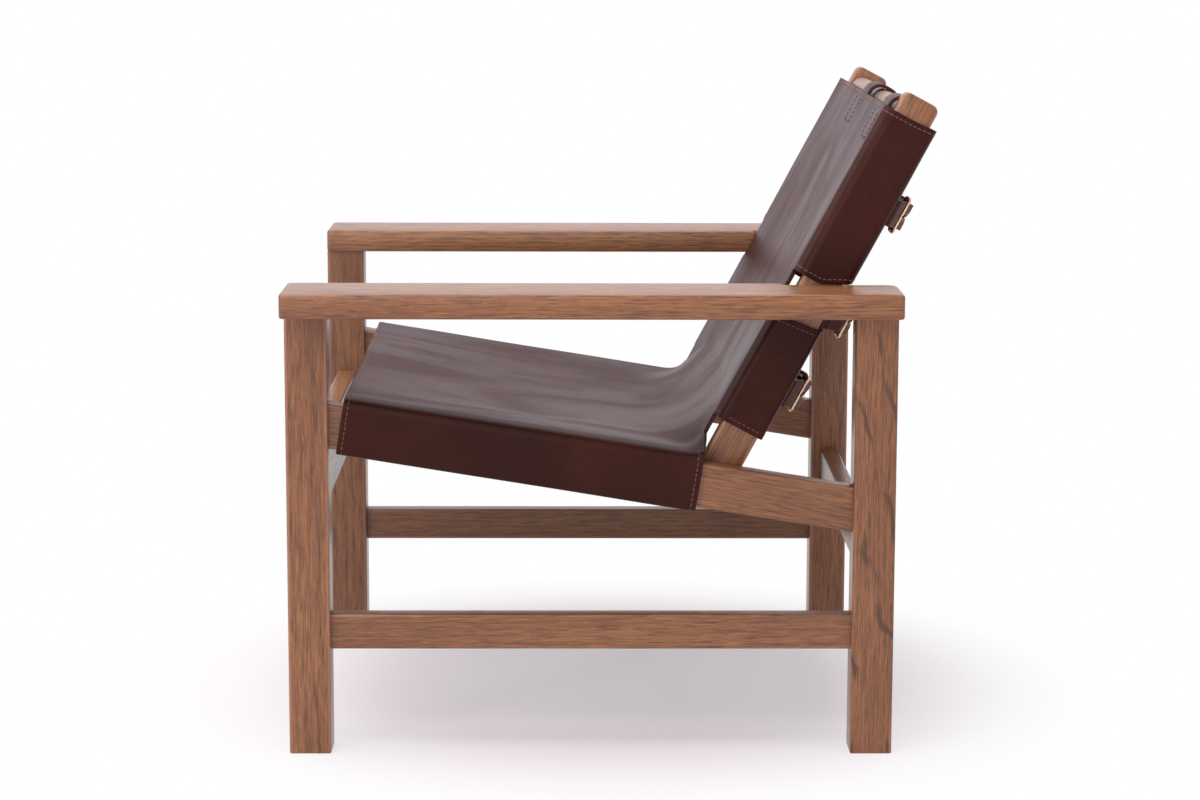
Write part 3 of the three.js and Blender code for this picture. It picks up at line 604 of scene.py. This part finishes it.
def skived(piece, thickness, bevel, face=None):
    """Gives a leather piece its thickness, its cut edges and softened corners.

    Harness leather has the flesh side for its reverse. Another face is the same on both sides.
    """
    piece.data.materials.append(face or harness_leather)
    piece.data.materials.append(burnished_edge)
    piece.data.materials.append(flesh_side)
    body = piece.modifiers.new("thickness", "SOLIDIFY")
    body.thickness = thickness * MM
    body.offset = 0
    body.use_even_offset = True
    body.material_offset_rim = 1
    body.material_offset = 0 if face else 2
    edges = piece.modifiers.new("edges", "BEVEL")
    edges.width = bevel * MM
    edges.segments = 3
    edges.limit_method = "ANGLE"
    edges.angle_limit = math.radians(55)


refine = sling_hide.modifiers.new("refine", "SUBSURF")
refine.levels = refine.render_levels = 1
refine.boundary_smooth = "PRESERVE_CORNERS"
skived(sling_hide, sling_thick, 1.3)
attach(sling_hide, "chair")
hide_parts("leather_sling")


# Stitches. Waxed thread a shade lighter than the hide, in a single row 6 mm in from the hems:
# stitches 4.7 mm long, one every 6 mm. Darker thread sews the dowel loops to the hide.
stitch_pitch, stitch_length = 6.0 * MM, 4.7 * MM
hem_inset = 6


def waxed_thread(name, light, dark, roughness):
    """Twisted, waxed thread."""
    material, thread = new_finish(name)
    place = thread.node("ShaderNodeTexCoord", output=3)
    twist = thread.node("ShaderNodeTexNoise", values={"Vector": place, "Scale": 1600.0, "Detail": 1.0})
    coated(thread, {"Base Color": twist.dye(light, dark), "Roughness": roughness})
    return material


hem_thread = waxed_thread("waxed_thread", paint(134, 90, 82), paint(104, 66, 60), 0.62)
loop_thread = waxed_thread("dark_thread", paint(84, 58, 56), paint(60, 38, 36), 0.6)
stitching = bmesh.new()
stitch_profile = ((0.0, -0.5, 0.5), (0.14, 0.2, 0.9), (0.5, 0.42, 1.0), (0.86, 0.2, 0.9), (1.0, -0.5, 0.5))


def close_round(mesh, low, high):
    """Faces between two rings of as many vertices."""
    count = len(low)
    for step in range(count):
        after = (step + 1) % count
        mesh.faces.new((low[step], low[after], high[after], high[step]))


def stitch(start, end, out):
    """One stitch: a short thread bowed off the leather, sunk at both ends."""
    run = end - start
    side = run.cross(out).normalized()
    rings = []
    for share, height, swell in stitch_profile:
        centre = start + run * share + out * height * MM
        ring = []
        for step in range(6):
            angle = step * math.tau / 6
            offset = side * math.cos(angle) * 0.62 + out * math.sin(angle) * 0.42
            ring.append(stitching.verts.new(centre + offset * swell * MM))
        rings.append(ring)
    for low, high in zip(rings, rings[1:]):
        close_round(stitching, low, high)
    stitching.faces.new(reversed(rings[0]))
    stitching.faces.new(rings[-1])


def seam(line, outward, lift):
    """A row of stitches along a line of places, laid on the face of the leather."""
    gone = 0
    total = sum((b - a).length for a, b in zip(line, line[1:]))

    def spot(distance):
        for place, (a, b) in enumerate(zip(line, line[1:])):
            span = (b - a).length
            if distance <= span or place == len(line) - 2:
                share = min(distance / span, 1)
                out = outward[place].lerp(outward[place + 1], share).normalized()
                return a.lerp(b, share) + out * lift * MM, out
            distance -= span

    while gone + stitch_length <= total:
        start, out = spot(gone)
        end, _ = spot(gone + stitch_length)
        stitch(start, end, out)
        gone += stitch_pitch


def normals_of(line, beside):
    """The outward way of the leather along a hem line, from a second line beside it."""
    ways = []
    for place, here in enumerate(line):
        ahead = line[min(place + 1, len(line) - 1)] - line[max(place - 1, 0)]
        ways.append(ahead.cross(beside[place] - here).normalized())
    return ways


def hem_pair(line, beside):
    """A seam on the left flap and its mirror on the right."""
    ways = normals_of(line, beside)
    seam(line, ways, sling_thick / 2)
    seam([flipped(place) for place in line], [flipped(way) for way in ways], sling_thick / 2)


seat_far_places = seat_edge_places[2:]
hem_pair([seat_wrap(place, seat_front + hem_inset) for place in seat_edge_places],
         [seat_wrap(place, seat_front + hem_inset + 10) for place in seat_edge_places])
hem_pair([seat_wrap(place, seat_rear - hem_inset) for place in seat_far_places],
         [seat_wrap(place, seat_rear) for place in seat_far_places])
for flap, places, height in ((lower_flap, low_edge_places, 142), (upper_flap, back_edge_places, 219)):
    for rise in (hem_inset / height, 1 - hem_inset / height):
        hem_pair([flap(place, rise) for place in places], [flap(place, rise + 0.02) for place in places])
for row in (edge_row(seat_front + hem_inset), edge_row_on_back(back_top - hem_inset)):
    line = [panel(x, row) for x in panel_columns]
    beside = [panel(x, row + 0.01) for x in panel_columns]
    seam(line, normals_of(line, beside), sling_thick / 2)


def sewn(name, finish):
    """Turns the stitches made so far into one piece of thread."""
    piece = drawn(name, stitching)
    piece.data.materials.append(finish)
    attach(piece, "chair")


sewn("hem_stitches", hem_thread)


# Dowel loops. Two short leather belts, 60 mm wide and 4.5 mm thick, sewn behind the panel's
# top hem, so that they hang it from the dowel. Their stitches show on the sitter's side as a U.
loop_width, loop_thick = 60, 4.5
loops = (("middle_dowel_loop", -30), ("left_dowel_loop", 216.4))
patch_foot, patch_head, patch_inset = 468, 508, 4
facing_sitter = (on_back(0, 0, -1) - on_back(0, 0, 0)).normalized()
for name, left in loops:
    near, far = left + patch_inset, left + loop_width - patch_inset
    patch = [(near, patch_head), (near, patch_foot), (far, patch_foot), (far, patch_head)]
    for (x0, up0), (x1, up1) in zip(patch, patch[1:]):
        line = [panel(x, edge_row_on_back(up)) for x, up in zip(spread(x0, x1, 8), spread(up0, up1, 8))]
        seam(line, [facing_sitter] * len(line), sling_thick / 2)
sewn("loop_stitches", loop_thread)

loop_line = bent([
    (-27.95, 460, 0), (-27.95, 534.55, 14), (10.55, 534.55, 16.55), (10.55, 504, 9.5), (-22.85, 464.5, 0),
], 5)
for name, left in loops:
    loop = bmesh.new()
    columns = spread(left, left + loop_width, 10)
    rows = [[loop.verts.new(on_back(x, along, across)) for x in columns] for across, along in loop_line]
    for low, high in zip(rows, rows[1:]):
        for place in range(len(low) - 1):
            loop.faces.new((low[place], low[place + 1], high[place + 1], high[place]))
    belt = drawn(name + "_belt", loop)
    skived(belt, loop_thick, 1.0)
    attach(belt, "chair")
    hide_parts(name)


# Strap sets. Six straps draw the hide round the frame: three behind the back and three under
# the seat. Each is bridle leather, 34 mm wide and 4 mm thick, box-stitched to the hide's lips.
# The short end, the billet, has a slot and two holes and passes the buckle and a leather keeper.
heel_x = 217.7
under_seat = -58.613
strap_thick = 4
strap_half = 17
strap_length = 160
tail_round = 15
under_bar, over_fold, over_bar = 2.3, 10.6, 16.2
sewn_end = 81
far_end, far_post, far_dip = -516.4, -494.4, -478.4
box_half = 13.5
bar_height = 7.1
bar_spacing = 36
frame_half, frame_corner = 21.1, 4.2
eye_radius, prong_reach = 4.0, 41
bridle_leather = tanned("bridle_leather", (84, 47, 36), 0.36)


def back_set(along, across):
    """The bench of a set behind the back: h from the heel bar, w off the hide, s along the hem."""
    return lambda h, w, s: on_back(heel_x + h, along + s, across + w)


def seat_set(along):
    """The bench of a set under the seat, with the same h, w and s."""
    return lambda h, w, s: on_seat(heel_x + h, along + s, under_seat - w)


def strap_band(name, line, bench, holes, tail):
    """A strap cut flat, with its holes and its rounded tail, then bent along a line of (h, w).

    A hole is (h of one end, h of the other, radius, about how far along the strap).
    """
    reach = [0]
    for a, b in zip(line, line[1:]):
        reach.append(reach[-1] + (b - a).length)
    total = reach[-1]
    before_tail = total - tail
    rounding = [total - tail * (1 - math.cos(step * math.pi / 12)) for step in range(1, 6)] if tail else []
    straight = {round(d, 4) for d in reach if d <= before_tail}
    stations = sorted(straight | {round(d, 4) for d in rounding} | {total})

    def half(d):
        into = d - before_tail
        if not tail or into <= 0:
            return strap_half
        return max(strap_half - tail + math.sqrt(max(tail ** 2 - into ** 2, 0)), 0.6)

    outline = [(d, -half(d)) for d in stations]
    outline += [(stations[-1], t * half(stations[-1]) / 3) for t in (-1, 1)]
    outline += [(d, half(d)) for d in reversed(stations)]
    outline += [(stations[0], t * strap_half / 3) for t in (2, 1, 0, -1, -2)]
    points = [Vector(p) for p in outline]
    edges = [(n, (n + 1) % len(outline)) for n in range(len(outline))]

    def where(h, near):
        """How far along the strap it passes a distance h from the heel bar."""
        def miss(n):
            return abs((line[n].x + line[n + 1].x) / 2 - h) + abs(reach[n] - near)

        best = min(range(len(line) - 1), key=miss)
        run = line[best + 1].x - line[best].x
        return reach[best] + (reach[best + 1] - reach[best]) * (h - line[best].x) / run

    cuts = []
    hole_steps = 16
    for h0, h1, radius, near in holes:
        d0, d1 = sorted((where(h0, near), where(h1, near)))
        first = len(points)
        for step in range(hole_steps):
            angle = (step + 0.5) * math.tau / hole_steps
            end = d1 if math.cos(angle) > 0 else d0
            points.append(Vector((end + radius * math.cos(angle), radius * math.sin(angle))))
            edges.append((first + step, first + (step + 1) % hole_steps))
        cuts.append((d0, d1, radius))

    def in_a_cut(d, s, margin):
        return any(math.hypot(d - min(max(d, d0), d1), s) < radius + margin for d0, d1, radius in cuts)

    for d in stations[1:-1]:
        for share in (-0.84, -0.5, -0.17, 0.17, 0.5, 0.84):
            s = share * strap_half
            if abs(s) < half(d) - 0.5 and not in_a_cut(d, s, 0.7):
                points.append(Vector((d, s)))
    flat, _, faces, *_ = geometry.delaunay_2d_cdt(points, edges, [], 1, 0.001)
    kept = []
    for face in faces:
        d, s = (sum((flat[corner][axis] for corner in face)) / len(face) for axis in (0, 1))
        if not in_a_cut(d, s, 0):
            kept.append(face)

    def place(d, s):
        for n in range(len(line) - 1):
            if d <= reach[n + 1] or n == len(line) - 2:
                share = (d - reach[n]) / (reach[n + 1] - reach[n])
                h, w = line[n].lerp(line[n + 1], share)
                return bench(h, w, s)

    data = bpy.data.meshes.new(name)
    data.from_pydata([place(*p) for p in flat], [], kept)
    piece = shown(name, data)
    skived(piece, strap_thick, 0.8, bridle_leather)
    return piece


def keeper_band(name, bench):
    """A keeper: a closed leather band round the folded strap and the billet's tail."""
    low, high, side, corner = -1.25, 14.15, 18.55, 2.4
    corners = [(high, side, corner), (low, side, corner), (low, -side, corner), (high, -side, corner)]
    start = (high, 0, 0)
    ring = bent([start] + corners + [start], 4)[:-1]
    mesh = bmesh.new()
    rows = [[mesh.verts.new(bench(h, w, s)) for w, s in ring] for h in spread(-43.5, -32.5, 3)]
    for near, far in zip(rows, rows[1:]):
        close_round(mesh, near, far)
    piece = drawn(name, mesh)
    skived(piece, 2.5, 0.6, bridle_leather)
    return piece


brass_finish, brass = new_finish("polished_brass")
brass_place = brass.node("ShaderNodeTexCoord", output=3)
brass_cloud = brass.node("ShaderNodeTexNoise", values={"Vector": brass_place, "Scale": 160.0, "Detail": 3.0})
brass_tone = brass_cloud.between(0.35, 0.7).dye(paint(248, 214, 184), paint(228, 182, 148))
brass_relief = brass.node("ShaderNodeBump", values={
    "Height": brass_cloud, "Strength": 0.1, "Distance": 0.1 * MM})
coated(brass, {
    "Base Color": brass_tone,
    "Metallic": 1.0,
    "Roughness": brass_cloud * 0.14 + 0.16,
    "Normal": brass_relief,
})


def rod(mesh, bench, stops, closed):
    """A cast rod along (h, w, s) stops, each with its half width and half height, oval in section."""
    rings = []
    count = len(stops)
    for n, (h, w, s, flat_half, high_half) in enumerate(stops):
        before = stops[(n - 1) % count] if closed or n > 0 else stops[n]
        after = stops[(n + 1) % count] if closed or n < count - 1 else stops[n]
        ahead = (Vector(after[:3]) - Vector(before[:3])).normalized()
        aside = ahead.cross(Vector((0, 1, 0))).normalized()
        lift = aside.cross(ahead).normalized()
        ring = []
        for step in range(12):
            angle = step * math.tau / 12
            offset = aside * math.cos(angle) * flat_half + lift * math.sin(angle) * high_half
            ring.append(mesh.verts.new(bench(h + offset.x, w + offset.y, s + offset.z)))
        rings.append(ring)
    pairs = list(zip(rings, rings[1:])) + ([(rings[-1], rings[0])] if closed else [])
    for low, high in pairs:
        close_round(mesh, low, high)
    if not closed:
        mesh.faces.new(reversed(rings[0]))
        mesh.faces.new(rings[-1])


def cast(name, mesh, body, node):
    """Ends a brass casting: one smooth piece that stands for its CAD node."""
    bmesh.ops.recalc_face_normals(mesh, faces=mesh.faces)
    piece = drawn(name, mesh)
    piece.data.materials.append(brass_finish)
    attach(piece, body)
    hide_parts(node)


def buckle_frame(bench):
    """The buckle's frame: one rounded ring, thicker along its sides than at its two bars."""
    mesh = bmesh.new()
    stops = []
    for h0, s0, start in ((bar_spacing, frame_half, 0), (0, frame_half, 90),
                          (0, -frame_half, 180), (bar_spacing, -frame_half, -90)):
        centre_h = h0 + math.copysign(frame_corner, bar_spacing / 2 - h0)
        centre_s = s0 - math.copysign(frame_corner, s0)
        for step in range(7):
            angle = math.radians(start + step * 15)
            along_h, along_s = math.cos(angle), math.sin(angle)
            stops.append((
                centre_h + frame_corner * along_h, bar_height, centre_s + frame_corner * along_s,
                2.2 + 0.9 * abs(along_s), 1.8 + 0.6 * abs(math.sin(2 * angle)),
            ))
    rod(mesh, bench, stops, True)
    return mesh


def buckle_tongue(bench):
    """The prong: an eye round the heel bar and a shank that rests on the tip bar."""
    mesh = bmesh.new()
    eye = []
    for step in range(16):
        angle = step * math.tau / 16
        eye.append((eye_radius * math.cos(angle), bar_height + eye_radius * math.sin(angle), 0, 2.3, 1.2))
    rod(mesh, bench, eye, True)
    rod(mesh, bench, [
        (-0.5, 11.4, 0, 2.3, 1.5), (6, 11.7, 0, 2.2, 1.6), (16, 11.8, 0, 2.1, 1.6),
        (28, 11.7, 0, 1.9, 1.6), (36, 11.5, 0, 1.8, 1.5), (prong_reach - 2, 11.2, 0, 1.6, 1.3),
        (prong_reach - 0.5, 10.9, 0, 1.0, 0.8), (prong_reach, 10.8, 0, 0.4, 0.3),
    ], False)
    return mesh


def sewn_down(bench, corners, w):
    """Stitches across a strap's outer face, from corner to corner."""
    facing = (bench(0, 1, 0) - bench(0, 0, 0)).normalized()
    for a, b in zip(corners, corners[1:]):
        seam([bench(a[0], w, a[1]), bench(b[0], w, b[1])], [facing, facing], 0)


strap_sets = (
    ("back_lower", back_set(163.765, 41.3), -10.7),
    ("back_middle", back_set(268.921, 48.3), -17.7),
    ("back_upper", back_set(409.815, 44.0), -8.7),
    ("seat_front", seat_set(91.031), 2.3),
    ("seat_middle", seat_set(232.798), 2.3),
    ("seat_rear", seat_set(374.564), 2.3),
)
for name, bench, sewn_at in strap_sets:
    raised = sewn_at != under_bar
    step_down = [(59, sewn_at, 4), (43, under_bar, 4)] if raised else []
    billet_line = bent([(sewn_end, sewn_at, 0)] + step_down + [
        (31, under_bar, 4), (8.8, over_bar, 4), (-6.8, over_bar, 4), (-18, over_fold, 4), (-70, over_fold, 0),
    ], 4)
    billet_holes = [(21, 1.6, 2.6, 75), (-18.8, -18.8, 2.5, 105), (-42.8, -42.8, 2.5, 130)]
    billet = strap_band(name + "_billet_strap", billet_line, bench, billet_holes, tail_round)
    step_up = [(far_post, sewn_at, 4), (far_dip, under_bar, 4)] if raised else []
    long_line = bent([(far_end, sewn_at, 0)] + step_up + [
        (4.8, under_bar, 4.8), (4.8, 11.9, 3.5), (-15, 6.35, 9), (-52, 6.35, 0),
    ], 5)
    long_length = sum((b - a).length for a, b in zip(long_line, long_line[1:]))
    long_strap = strap_band(name + "_long_strap", long_line, bench, [], 0)
    straps = ((billet, "_billet", strap_length), (long_strap, "_buckle_strap", long_length))
    for piece, node, length in straps:
        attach(piece, "chair")
        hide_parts(name + node)
        length * MM
    keeper = keeper_band(name + "_keeper_band", bench)
    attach(keeper, "chair")
    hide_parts(name + "_keeper")
    cast(name + "_frame", buckle_frame(bench), "chair", name + "_buckle_frame")
    cast(name + "_tongue", buckle_tongue(bench), name + "_prong", name + "_buckle_prong")
    for h0, h1 in ((sewn_end - 20, sewn_end - 2), (far_end + 2, far_end + 20)):
        low_near, low_far = (h0, -box_half), (h1, -box_half)
        high_near, high_far = (h0, box_half), (h1, box_half)
        box = [low_near, low_far, high_far, high_near, low_near, high_far, low_far, high_near]
        sewn_down(bench, box, sewn_at + 2)
    sewn_down(bench, [(-27, -box_half), (-27, box_half)], 8.35)
sewn("strap_stitches", hem_thread)


# Floor and light. A plain white floor, one wide soft light overhead, a fainter one beside the
# camera and a narrow one low in front, so that colours come out about as they are written.
def looked_at(tree):
    """1 for what the camera sees, straight or in a reflection, and 0 for what only lights."""
    path = tree.nodes.new("ShaderNodeLightPath")
    camera_ray, glossy_ray, clear_ray = (Signal(tree, path.outputs[name]) for name in (
        "Is Camera Ray", "Is Glossy Ray", "Is Transmission Ray"))
    return (camera_ray + glossy_ray + clear_ray).between(0.0, 1.0)


floor_mesh = bpy.data.meshes.new("floor")
floor_mesh.from_pydata([(-60, -60, 0), (60, -60, 0), (60, 60, 0), (-60, 60, 0)], [], [(0, 1, 2, 3)])
floor = bpy.data.objects.new("floor", floor_mesh)
bpy.context.scene.collection.objects.link(floor)
floor_finish, ground = new_finish("white_floor")
ground_place = ground.node("ShaderNodeTexCoord", output=3)
ground_far = ground.node("ShaderNodeVectorMath", {"operation": "LENGTH"}, {0: ground_place}, output=1)
ground_matt = ground.node("ShaderNodeBsdfDiffuse", values={"Color": paint(247, 229, 240)})
ground_glow = ground.node("ShaderNodeEmission", values={"Color": (1, 1, 1, 1), "Strength": 1.0})
ground_share = looked_at(ground.tree) * (ground_far.between(0.26, 0.66) * 0.6 + 0.4)
ground_mix = ground.node("ShaderNodeMixShader", values={0: ground_share, 1: ground_matt, 2: ground_glow})
ground.node("ShaderNodeOutputMaterial", values={"Surface": ground_mix})
floor_mesh.materials.append(floor_finish)

world = bpy.data.worlds.new("studio")
bpy.context.scene.world = world
world.use_nodes = True
world.node_tree.nodes.clear()
air = Signal(world.node_tree)
lighting_share = 0.48
brightness = looked_at(air.tree) * (1 - lighting_share) + lighting_share
glow = air.node("ShaderNodeBackground", values={"Color": paint(252, 247, 252), "Strength": brightness})
air.node("ShaderNodeOutputWorld", values={"Surface": glow})


def softbox(name, place, aim, size, power):
    light = bpy.data.lights.new(name, "AREA")
    light.shape = "RECTANGLE"
    light.size, light.size_y = size
    light.energy = power
    lamp = bpy.data.objects.new(name, light)
    lamp.location = place
    lamp.rotation_euler = (Vector(aim) - Vector(place)).to_track_quat("-Z", "Y").to_euler()
    bpy.context.scene.collection.objects.link(lamp)


softbox("overhead", (0.4, -0.5, 3.0), (0, 0, 0.3), (3.0, 3.0), 76)
softbox("beside", (3.4, -1.0, 1.9), (0, 0, 0.4), (2.4, 2.4), 22)
softbox("edge", (2.5, -2.3, 1.0), (0.3, 0, 0.6), (0.14, 2.2), 13)
bpy.context.scene.view_settings.view_transform = "Standard"
